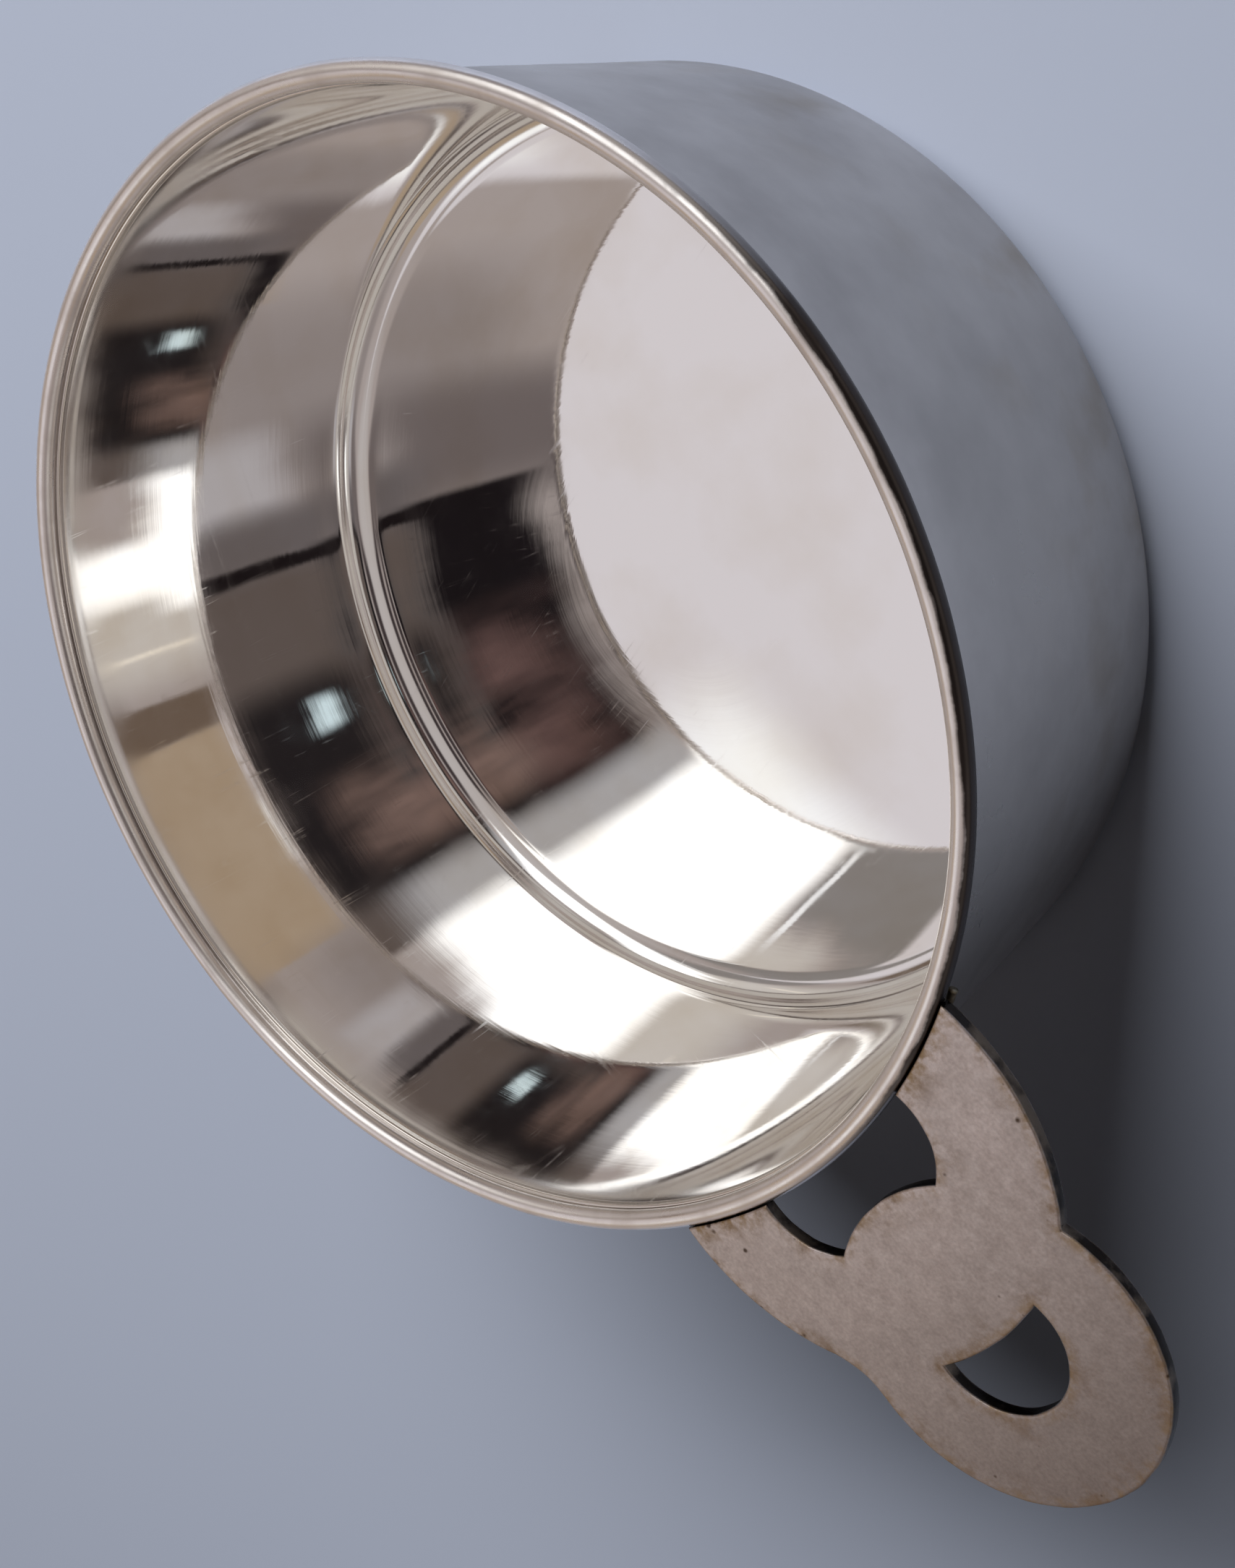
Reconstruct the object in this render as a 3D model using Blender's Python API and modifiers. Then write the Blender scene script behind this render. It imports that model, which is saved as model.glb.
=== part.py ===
"""Silver porringer: a spun bowl, a round wire soldered along its lip and one flat pierced handle."""
import math

import bmesh
import bpy

# Driving dimensions, in metres
RIM_RADIUS = 0.0530          # bowl axis to the middle of the rim wire
WIRE_RADIUS = 0.0010         # half the thickness of the rim wire
OVERALL_HEIGHT = 0.0430      # table to the top of the rim wire
WALL = 0.0011                # thickness of the side wall
FLOOR = 0.0010               # thickness of the bottom
WALL_TAPER = 0.0026          # how much narrower the wall is at its foot than at its lip
LIP_LEDGE = 0.0002           # how far the wall stands inside the wire
CORNER_RADIUS = 0.0032       # inside radius between wall and bottom
FOOT_RADIUS = 0.0028         # outside radius between wall and foot
DOME_RISE = 0.0020           # how far the middle of the bottom is pushed up
FOOT_WIDTH = 0.0016          # flat ring that the bowl stands on
SOLDER_THICKNESS = 0.0002    # least thickness of the seam between lip and wire
SEAM_GAP = 0.0003            # clearance between neighbouring pieces

HANDLE_LENGTH = 0.0353       # outside of the rim to the end of the handle
HANDLE_THICKNESS = 0.0014
HANDLE_EDGE = 0.00035        # rounding of the plate's edges
ARM_ROOT_OUTER = 0.0202      # half the width over both arms, at the rim
ARM_ROOT_INNER = 0.0102      # half the width between the arms, at the rim
ARM_OUTER_BULGE = 0.0024     # crown of an arm's outer edge
ARM_INNER_BULGE = 0.0013     # crown of an arm's inner edge
WAIST_REACH = 0.0153         # rim to the waist where the arms meet the round end
WAIST_HALF_WIDTH = 0.0139
WINDOW_CORNER_REACH = 0.0066     # rim to the corners of the gap behind the rim
WINDOW_CORNER_HALF_WIDTH = 0.0069
WINDOW_APEX_REACH = 0.0049   # rim to the middle of the plate's near edge
EYE_CORNER_REACH = 0.0189    # rim to the corners of the hole in the round end
EYE_CORNER_HALF_WIDTH = 0.0063
EYE_NEAR_REACH = 0.0197      # rim to the middle of the hole's near edge
EYE_FAR_REACH = 0.0264       # rim to the middle of the hole's far edge
SOLDER_BEAD_RADIUS = 0.0005  # fillet of solder under each arm
SOLDER_BEAD_INSET = 0.0015   # how far that fillet stops short of the arm's edges

RIM_STEPS = 72               # facets around the bowl
WIRE_STEPS = 12              # facets around the wire's own section
ARC_STEPS = 12               # facets of each arc in the handle's outline
CORNER_STEPS = 6             # facets of the corner between wall and bottom
DOME_STEPS = 7               # facets from the middle of the bottom to its edge

# Sizes worked out from those above
RIM_EDGE = RIM_RADIUS + WIRE_RADIUS
RIM_HEIGHT = OVERALL_HEIGHT - WIRE_RADIUS
BOWL_AXIS_X = -HANDLE_LENGTH / 2
LIP_INNER = RIM_RADIUS - WIRE_RADIUS - LIP_LEDGE
LIP_OUTER = LIP_INNER + WALL
LIP_HEIGHT = RIM_HEIGHT - WIRE_RADIUS - 2 * SEAM_GAP - SOLDER_THICKNESS
ARM_END_RADIUS = RIM_EDGE + SEAM_GAP


def clear_scene():
    for obj in list(bpy.data.objects):
        bpy.data.objects.remove(obj, do_unlink=True)


def new_collection(name):
    collection = bpy.data.collections.new(name)
    bpy.context.scene.collection.children.link(collection)
    return collection


def silver(name, colour, roughness):
    material = bpy.data.materials.new(name)
    material.use_nodes = True
    shader = material.node_tree.nodes["Principled BSDF"]
    shader.inputs["Base Color"].default_value = (*colour, 1.0)
    shader.inputs["Metallic"].default_value = 1.0
    shader.inputs["Roughness"].default_value = roughness
    return material


def add_part(name, data, material, collection, parent):
    obj = bpy.data.objects.new(name, data)
    collection.objects.link(obj)
    data.materials.append(material)
    obj.parent = parent
    return obj


def arc(centre, radius, start, end, steps):
    """Points of a circular arc from angle start to angle end, both ends included."""
    angles = [start + (end - start) * i / steps for i in range(steps + 1)]
    return [(centre[0] + radius * math.cos(a), centre[1] + radius * math.sin(a)) for a in angles]


def arc_through(first, middle, last, steps):
    """Points of the arc from first to last that passes through middle."""
    ax, ay = first
    bx, by = middle
    cx, cy = last
    det = 2 * (ax * (by - cy) + bx * (cy - ay) + cx * (ay - by))
    aa, bb, cc = ax * ax + ay * ay, bx * bx + by * by, cx * cx + cy * cy
    centre = ((aa * (by - cy) + bb * (cy - ay) + cc * (ay - by)) / det,
              (aa * (cx - bx) + bb * (ax - cx) + cc * (bx - ax)) / det)
    start, mid, end = (math.atan2(y - centre[1], x - centre[0]) for x, y in (first, middle, last))
    turn = (end - start) % math.tau
    if (mid - start) % math.tau > turn:
        turn -= math.tau
    points = arc(centre, math.dist(first, centre), start, start + turn, steps)
    points[0], points[-1] = first, last
    return points


def arc_with_bulge(first, last, bulge, steps):
    """Arc from first to last whose middle stands to the left of the chord by bulge."""
    dx, dy = last[0] - first[0], last[1] - first[1]
    length = math.hypot(dx, dy)
    middle = ((first[0] + last[0]) / 2 - dy / length * bulge,
              (first[1] + last[1]) / 2 + dx / length * bulge)
    return arc_through(first, middle, last, steps)


def joined(*runs):
    """One outline from runs that each start where the one before ended."""
    outline = []
    for run in runs:
        outline += run if not outline else run[1:]
    return outline


def turned(name, profile, closed, material, collection, parent):
    """Solid of revolution about Z from a profile of (radius, height) points."""
    mesh = bpy.data.meshes.new(name)
    bm = bmesh.new()
    verts = [bm.verts.new((radius, 0.0, height)) for radius, height in profile]
    pairs = list(zip(verts, verts[1:]))
    if closed:
        pairs.append((verts[-1], verts[0]))
    for pair in pairs:
        bm.edges.new(pair)
    bm.to_mesh(mesh)
    bm.free()
    obj = add_part(name, mesh, material, collection, parent)
    screw = obj.modifiers.new("Turn", "SCREW")
    screw.steps = RIM_STEPS
    screw.render_steps = RIM_STEPS
    screw.use_merge_vertices = True
    screw.merge_threshold = 0.00001
    screw.use_smooth_shade = True
    return obj


def corner_centre(foot, base, radius, slope):
    """Middle of the round that touches the level at base and the wall that rises from foot."""
    return (foot + radius * math.tan(slope) - radius / math.cos(slope), base + radius)


def bowl_profile():
    """Floor from the axis out, up the inside, over the lip, down the outside and back to the axis."""
    slope = math.atan2(WALL_TAPER, LIP_HEIGHT - FLOOR)
    foot_outer = LIP_OUTER - LIP_HEIGHT * math.tan(slope)
    corner = corner_centre(LIP_INNER - WALL_TAPER, FLOOR, CORNER_RADIUS, slope)
    outer_corner = corner_centre(foot_outer, 0.0, FOOT_RADIUS, slope)
    dome_radius = (corner[0] ** 2 + DOME_RISE ** 2) / (2 * DOME_RISE)
    dome_angle = math.asin(corner[0] / dome_radius)
    dome_centre = (0.0, FLOOR + DOME_RISE - dome_radius)
    top = arc(dome_centre, dome_radius, math.pi / 2, math.pi / 2 - dome_angle, DOME_STEPS)
    inside = arc(corner, CORNER_RADIUS, -math.pi / 2, -slope, CORNER_STEPS)
    outside = arc(outer_corner, FOOT_RADIUS, -slope, -math.pi / 2, CORNER_STEPS)
    under_edge = outer_corner[0] - FOOT_WIDTH
    under_radius = (under_edge ** 2 + DOME_RISE ** 2) / (2 * DOME_RISE)
    under_angle = math.asin(under_edge / under_radius)
    under_centre = (0.0, DOME_RISE - under_radius)
    under = arc(under_centre, under_radius, math.pi / 2 - under_angle, math.pi / 2, DOME_STEPS)
    top[0] = (0.0, FLOOR + DOME_RISE)
    under[-1] = (0.0, DOME_RISE)
    lip = [(LIP_INNER, LIP_HEIGHT), (LIP_OUTER, LIP_HEIGHT)]
    return joined(top, inside) + lip + outside + under


def rim_solder_profile():
    """Thin seam on the lip, hollowed on top to cradle the wire."""
    cradle = WIRE_RADIUS + SEAM_GAP
    base = LIP_HEIGHT + SEAM_GAP
    inner = RIM_RADIUS - WIRE_RADIUS
    outer = min(LIP_OUTER, RIM_RADIUS)
    start = math.pi + math.acos((RIM_RADIUS - inner) / cradle)
    end = math.pi + math.acos((RIM_RADIUS - outer) / cradle)
    hollow = arc((RIM_RADIUS, RIM_HEIGHT), cradle, start, end, WIRE_STEPS // 2)
    return hollow + [(outer, base), (inner, base)]


def wire_profile():
    """Full circle, run clockwise so that its outer side goes down."""
    points = arc((RIM_RADIUS, RIM_HEIGHT), WIRE_RADIUS, math.pi / 2, -1.5 * math.pi, WIRE_STEPS)
    return points[:-1]


def handle_outline():
    """Plan of the plate, from the bowl axis at the origin, with the handle along +X."""
    def on_rim(half_width):
        return (math.sqrt(ARM_END_RADIUS ** 2 - half_width ** 2), half_width)

    def flip(points):
        return [(x, -y) for x, y in reversed(points)]

    waist = (RIM_EDGE + WAIST_REACH, WAIST_HALF_WIDTH)
    tip = (RIM_EDGE + HANDLE_LENGTH, 0.0)
    corner = (RIM_EDGE + WINDOW_CORNER_REACH, WINDOW_CORNER_HALF_WIDTH)
    apex = (RIM_EDGE + WINDOW_APEX_REACH, 0.0)
    root_outer, root_inner = on_rim(ARM_ROOT_OUTER), on_rim(ARM_ROOT_INNER)
    root = arc((0.0, 0.0), ARM_END_RADIUS, math.atan2(root_inner[1], root_inner[0]),
               math.atan2(root_outer[1], root_outer[0]), ARC_STEPS // 3)
    arm_outer = arc_with_bulge(root_outer, waist, ARM_OUTER_BULGE, ARC_STEPS)
    arm_inner = arc_with_bulge(corner, root_inner, -ARM_INNER_BULGE, ARC_STEPS // 2)
    round_end = arc_through(waist, tip, flip([waist])[0], 3 * ARC_STEPS)
    near_edge = arc_through(flip([corner])[0], apex, corner, ARC_STEPS)
    half = joined(arm_inner, root, arm_outer)
    return joined(half, round_end, flip(half), near_edge)[:-1]


def eye_outline():
    """Half-round hole in the handle's end."""
    corner = (RIM_EDGE + EYE_CORNER_REACH, EYE_CORNER_HALF_WIDTH)
    opposite = (corner[0], -corner[1])
    far = arc_through(corner, (RIM_EDGE + EYE_FAR_REACH, 0.0), opposite, 2 * ARC_STEPS)
    near = arc_through(opposite, (RIM_EDGE + EYE_NEAR_REACH, 0.0), corner, ARC_STEPS)
    return joined(far, near)[:-1]


def mesh_from_curve(name, curve):
    """Closed mesh of a curve, with its caps welded to its sides."""
    source = bpy.data.objects.new(name + "_curve", curve)
    bpy.context.scene.collection.objects.link(source)
    depsgraph = bpy.context.evaluated_depsgraph_get()
    mesh = bpy.data.meshes.new_from_object(source.evaluated_get(depsgraph))
    bpy.data.objects.remove(source, do_unlink=True)
    bm = bmesh.new()
    bm.from_mesh(mesh)
    bmesh.ops.remove_doubles(bm, verts=bm.verts, dist=0.000005)
    bmesh.ops.recalc_face_normals(bm, faces=bm.faces)
    bm.to_mesh(mesh)
    bm.free()
    mesh.name = name
    return mesh


def pierced_plate(name, outlines, thickness, edge, material, collection, parent, height):
    """Flat plate from closed outlines, the first outside and the others holes, with rounded edges."""
    curve = bpy.data.curves.new(name, "CURVE")
    curve.dimensions = "2D"
    curve.fill_mode = "BOTH"
    curve.extrude = thickness / 2
    for outline in outlines:
        spline = curve.splines.new("POLY")
        spline.points.add(len(outline) - 1)
        for point, (x, y) in zip(spline.points, outline):
            point.co = (x, y, 0.0, 1.0)
        spline.use_cyclic_u = True
    obj = add_part(name, mesh_from_curve(name, curve), material, collection, parent)
    obj.location.z = height
    bevel = obj.modifiers.new("Rounded edges", "BEVEL")
    bevel.width = edge
    bevel.segments = 2
    bevel.limit_method = "ANGLE"
    bevel.angle_limit = math.radians(60)
    bevel.use_clamp_overlap = False
    obj.data.shade_smooth()
    obj.data.set_sharp_from_angle(angle=math.radians(35))
    return obj


def solder_bead(name, side, material, collection, parent):
    """Fillet of solder in the corner under one arm, along the wire."""
    drop = HANDLE_THICKNESS / 2 + SEAM_GAP + SOLDER_BEAD_RADIUS
    reach = WIRE_RADIUS + SEAM_GAP + SOLDER_BEAD_RADIUS
    radius = RIM_RADIUS + math.sqrt(max(reach ** 2 - drop ** 2, 0.0))
    start = math.asin((ARM_ROOT_INNER + SOLDER_BEAD_INSET) / radius)
    end = math.asin((ARM_ROOT_OUTER - SOLDER_BEAD_INSET) / radius)
    route = arc((0.0, 0.0), radius, side * start, side * end, ARC_STEPS)
    curve = bpy.data.curves.new(name, "CURVE")
    curve.dimensions = "3D"
    curve.bevel_depth = SOLDER_BEAD_RADIUS
    curve.bevel_resolution = 2
    curve.use_fill_caps = True
    spline = curve.splines.new("POLY")
    spline.points.add(len(route) - 1)
    for point, (x, y) in zip(spline.points, route):
        point.co = (x, y, 0.0, 1.0)
    obj = add_part(name, mesh_from_curve(name, curve), material, collection, parent)
    obj.location.z = RIM_HEIGHT - drop
    obj.data.shade_smooth()
    obj.data.set_sharp_from_angle(angle=math.radians(40))
    return obj


def main():
    clear_scene()
    parts = new_collection("porringer")
    axis = bpy.data.objects.new("bowl_axis", None)
    axis.location.x = BOWL_AXIS_X
    parts.objects.link(axis)

    polished = silver("polished_silver", (0.86, 0.84, 0.81), 0.06)
    drawn = silver("drawn_silver_wire", (0.84, 0.81, 0.78), 0.16)
    worn = silver("worn_silver", (0.74, 0.70, 0.67), 0.38)
    solder = silver("silver_solder", (0.62, 0.58, 0.52), 0.45)

    turned("bowl", bowl_profile(), False, polished, parts, axis)
    turned("rim_wire", wire_profile(), True, drawn, parts, axis)
    turned("rim_solder", rim_solder_profile(), True, solder, parts, axis)
    pierced_plate("handle", [handle_outline(), eye_outline()], HANDLE_THICKNESS, HANDLE_EDGE,
                  worn, parts, axis, RIM_HEIGHT)
    solder_bead("handle_solder_left", 1, solder, parts, axis)
    solder_bead("handle_solder_right", -1, solder, parts, axis)


main()
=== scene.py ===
import math

import bmesh
import bpy
from mathutils import Matrix, Vector, noise
from mathutils.geometry import intersect_line_line
from mathutils.kdtree import KDTree


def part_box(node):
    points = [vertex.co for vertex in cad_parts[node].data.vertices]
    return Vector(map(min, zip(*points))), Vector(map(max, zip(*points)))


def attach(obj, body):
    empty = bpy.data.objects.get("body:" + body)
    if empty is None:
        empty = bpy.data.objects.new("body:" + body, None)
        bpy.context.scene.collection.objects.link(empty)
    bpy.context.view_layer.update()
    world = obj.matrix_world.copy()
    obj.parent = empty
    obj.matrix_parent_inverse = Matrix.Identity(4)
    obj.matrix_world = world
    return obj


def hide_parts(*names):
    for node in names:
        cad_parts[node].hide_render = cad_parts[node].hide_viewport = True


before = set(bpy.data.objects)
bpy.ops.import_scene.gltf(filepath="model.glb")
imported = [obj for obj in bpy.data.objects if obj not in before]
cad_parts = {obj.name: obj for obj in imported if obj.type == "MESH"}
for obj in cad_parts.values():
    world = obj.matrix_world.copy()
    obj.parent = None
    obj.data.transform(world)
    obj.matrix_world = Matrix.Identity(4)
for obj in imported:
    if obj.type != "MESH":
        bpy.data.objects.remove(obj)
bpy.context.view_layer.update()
mm = 0.001
print("frame loaded:", ", ".join(sorted(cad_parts)))

# Where the CAD puts the bowl, its rim and the handle
wireLow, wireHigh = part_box("rim_wire")
plateLow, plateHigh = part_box("handle")
axisX = (wireLow.x + wireHigh.x) / 2
wireRadius = (wireHigh.z - wireLow.z) / 2
rimHeight = (wireHigh.z + wireLow.z) / 2
rimEdge = (wireHigh.x - wireLow.x) / 2
rimRadius = rimEdge - wireRadius
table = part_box("bowl")[0].z


def linear(hexColour):
    parts = [int(hexColour[i:i + 2], 16) / 255 for i in (1, 3, 5)]
    return [p / 12.92 if p <= 0.04045 else ((p + 0.055) / 1.055) ** 2.4 for p in parts] + [1.0]


def addNode(tree, kind, inputs, out=0, **settings):
    made = tree.nodes.new("ShaderNode" + kind)
    for name, value in settings.items():
        setattr(made, name, value)
    for key, value in inputs.items():
        if isinstance(value, bpy.types.NodeSocket):
            tree.links.new(value, made.inputs[key])
        else:
            made.inputs[key].default_value = value
    return made.outputs[out]


def lineTo(bm, pen, spot):
    end = bmesh.ops.extrude_vert_indiv(bm, verts=[pen])["verts"][0]
    end.co = spot
    return end


def arcTo(bm, pen, centre, angle, steps, axis=(0, 0, 1)):
    turned = bmesh.ops.spin(bm, geom=[pen], cent=centre, axis=axis, angle=angle, steps=steps)
    return [part for part in turned["geom_last"] if isinstance(part, bmesh.types.BMVert)][0]


# An arc from the pen over a middle point to a last point, all in one flat drawing
def arcOver(bm, pen, middle, last, steps):
    spots = [pen.co.copy(), Vector((*middle, pen.co.z)), Vector((*last, pen.co.z))]
    halves = [(spots[i] + spots[i + 1]) / 2 for i in (0, 1)]
    across = [(spots[i + 1] - spots[i]).cross((0, 0, 1)) for i in (0, 1)]
    centre = intersect_line_line(halves[0], halves[0] + across[0], halves[1], halves[1] + across[1])[0]
    start, mid, end = (math.atan2(spot.y - centre.y, spot.x - centre.x) for spot in spots)
    sweep = (end - start) % math.tau
    if (mid - start) % math.tau > sweep:
        sweep -= math.tau
    return arcTo(bm, pen, centre, sweep, steps)


def arcBulged(bm, pen, last, bulge, steps):
    first, end = pen.co.xy, Vector(last)
    middle = (first + end) / 2 + (end - first).orthogonal().normalized() * bulge
    return arcOver(bm, pen, middle, last, steps)


def spinRound(bm, steps):
    bmesh.ops.remove_doubles(bm, verts=bm.verts, dist=0.0005 * mm)
    bmesh.ops.spin(bm, geom=bm.verts[:] + bm.edges[:], cent=(axisX, 0, 0), axis=(0, 0, 1), angle=math.tau,
                   steps=steps, use_merge=True)
    bmesh.ops.remove_doubles(bm, verts=bm.verts, dist=0.0005 * mm)
    bmesh.ops.dissolve_degenerate(bm, edges=bm.edges, dist=0.0005 * mm)
    bmesh.ops.recalc_face_normals(bm, faces=bm.faces)


# Hand work leaves a surface a little uneven: long swells along the normals
def unevenBy(bm, verts, depth, length, shift, bottom):
    bm.normal_update()
    for vert in verts:
        swell = noise.noise(vert.co / length + Vector(shift)) + 0.3 * noise.noise(vert.co * 2.7 / length)
        fade = min(1, (rimHeight - vert.co.z) / (6 * mm), (vert.co.z - bottom) / (5 * mm))
        vert.co += vert.normal * swell * depth * fade


def finishPiece(name, bm, materials, node):
    for face in bm.faces:
        face.smooth = True
    mesh = bpy.data.meshes.new(name)
    bm.to_mesh(mesh)
    bm.free()
    for material in materials:
        mesh.materials.append(material)
    piece = bpy.data.objects.new(name, mesh)
    bpy.context.scene.collection.objects.link(piece)
    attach(piece, "root")
    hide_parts(node)
    print("made", name, len(mesh.polygons), "faces")
    return piece


# A metal whose patterns sit on Object coordinates, centred on the bowl's axis
def newMetal(name):
    material = bpy.data.materials.new(name)
    material.use_nodes = True
    tree = material.node_tree
    shader = tree.nodes["Principled BSDF"]
    shader.inputs["Metallic"].default_value = 1.0
    spot = addNode(tree, "TexCoord", {}, out="Object")
    spot = addNode(tree, "Mapping", {"Vector": spot, "Location": (-axisX, 0, 0)})
    return material, tree, shader, spot


# Sterling silver spun and buffed bright: a sharp mirror, clouded by wiping, crossed by hairline
# scratches, with fine buffing lines round the bowl and a breath of yellow tarnish
mirrorSettings = {
    "clean": "#fbfaf9",
    "tarnished": "#f3efe9",
    "patch": 15 * mm,
    "haze": 5 * mm,
    "roughness": (0.014, 0.065),
    "lipHaze": (7 * mm, 0.1),  # a duller band under the lip, where spoons rub
    "cornerHaze": 0.06,        # the buff doesn't reach into the corner
    "scratchSpacing": 6 * mm,
    "scratchRoughness": 0.15,
    "scratchSets": [           # shift, turn and width of each run of scratches
        (0.0, 0.3, 0.006), (0.31, 1.4, 0.004), (0.77, 2.5, 0.005), (0.52, 0.9, 0.004),
    ],
    "buffLine": 0.6 * mm,      # real ones are finer; drawn as coarse as they need to show
    "buffDepth": 0.002 * mm,
}


def mirrorSilver(s):
    material, tree, shader, spot = newMetal("mirror buffed sterling silver")
    patches = addNode(tree, "TexNoise", {"Vector": spot, "Scale": 1 / s["patch"], "Detail": 4})
    amount = addNode(tree, "MapRange", {"Value": patches, "From Min": 0.45, "From Max": 0.75})
    colour = addNode(tree, "Mix", {"Factor": amount, "A": linear(s["clean"]), "B": linear(s["tarnished"])}, out=2,
                     data_type="RGBA")
    tree.links.new(colour, shader.inputs["Base Color"])

    # clouded in patches, duller under the lip and in the corner
    haze = addNode(tree, "TexNoise", {"Vector": spot, "Scale": 1 / s["haze"], "Detail": 6, "Roughness": 0.65})
    rough = addNode(tree, "MapRange", {"Value": haze, "From Min": 0.35, "From Max": 0.72,
                                       "To Min": s["roughness"][0], "To Max": s["roughness"][1]})
    parts = addNode(tree, "SeparateXYZ", {0: spot}).node
    reach, roughest = s["lipHaze"]
    band = addNode(tree, "MapRange", {"Value": parts.outputs["Z"], "From Min": rimHeight - reach,
                                      "From Max": rimHeight, "To Max": roughest}, interpolation_type="SMOOTHSTEP")
    rough = addNode(tree, "Math", {0: band, 1: rough}, operation="ADD")
    flat = addNode(tree, "VectorMath", {0: spot, 1: (1, 1, 0)}, operation="MULTIPLY")
    radius = addNode(tree, "VectorMath", {0: flat}, out="Value", operation="LENGTH")
    foot = rimRadius - wireRadius - bowlSettings["ledge"] - bowlSettings["taper"]
    corner = bowlSettings["corner"]
    top = table + bowlSettings["floor"] + corner
    inCorner = addNode(tree, "MapRange", {"Value": radius, "From Min": foot - 1.1 * corner,
                                          "From Max": foot - 0.8 * corner})
    lowDown = addNode(tree, "MapRange", {"Value": parts.outputs["Z"], "From Min": top + 0.1 * corner,
                                         "From Max": top - 0.2 * corner, "To Max": s["cornerHaze"]})
    rough = addNode(tree, "Math", {0: inCorner, 1: lowDown, 2: rough}, operation="MULTIPLY_ADD")

    # scratches follow the thin contours of drawn-out noises, kept to some places only
    for shift, turn, width in s["scratchSets"]:
        moved = addNode(tree, "Mapping", {"Vector": spot, "Location": (shift, shift, shift),
                                          "Rotation": (0.5, 0.2, turn), "Scale": (1, 0.02, 0.03)})
        field = addNode(tree, "TexNoise", {"Vector": moved, "Scale": 1 / s["scratchSpacing"], "Detail": 1})
        offset = addNode(tree, "Math", {0: field, 1: 0.5}, operation="SUBTRACT")
        offset = addNode(tree, "Math", {0: offset}, operation="ABSOLUTE")
        line = addNode(tree, "MapRange", {"Value": offset, "From Min": 0, "From Max": width,
                                          "To Min": 1, "To Max": 0})
        broken = addNode(tree, "TexNoise", {"Vector": spot, "Scale": 1.7 / s["scratchSpacing"], "Detail": 3})
        broken = addNode(tree, "MapRange", {"Value": broken, "From Min": 0.5, "From Max": 0.75})
        line = addNode(tree, "Math", {0: line, 1: broken}, operation="MULTIPLY")
        rough = addNode(tree, "Math", {0: line, 1: s["scratchRoughness"], 2: rough}, operation="MULTIPLY_ADD")
    tree.links.new(rough, shader.inputs["Roughness"])

    # buffing lines run round the axis, so their noise hangs on radius and height
    across = addNode(tree, "Math", {0: radius, 1: parts.outputs["Z"]}, operation="ADD")
    along = addNode(tree, "VectorMath", {0: flat, 1: (0.02, 0.02, 0)}, operation="MULTIPLY")
    lifted = addNode(tree, "CombineXYZ", {"Z": across})
    along = addNode(tree, "VectorMath", {0: along, 1: lifted}, operation="ADD")
    lines = addNode(tree, "TexNoise", {"Vector": along, "Scale": 1 / s["buffLine"], "Detail": 3})
    bump = addNode(tree, "Bump", {"Height": lines, "Distance": s["buffDepth"]})
    tree.links.new(bump, shader.inputs["Normal"])
    return material


# The outside was only fine sanded: a satin sheen with rub marks round the bowl, grey smudges
# from hands and brown tarnish low down
satinSettings = {
    "clean": "#cbc7c3",
    "smudged": "#b2aeab",
    "dull": "#94918d",
    "tarnished": "#a09380",
    "patch": 21 * mm,
    "tarnishPatch": 9 * mm,
    "roughness": (0.26, 0.42),
    "smudges": [               # middle from the bowl's axis, size
        ((13 * mm, 49 * mm, 16 * mm), 30 * mm),
        ((24 * mm, 46 * mm, 30 * mm), 16 * mm),
        ((-40 * mm, -31 * mm, 20 * mm), 26 * mm),
    ],
    "smudgeAmount": 0.35,
    "tarnishHeight": (30 * mm, 2 * mm),    # brown starts and is thickest
    "rubLine": 0.7 * mm,
    "rubDepth": 0.006 * mm,
}


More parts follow.
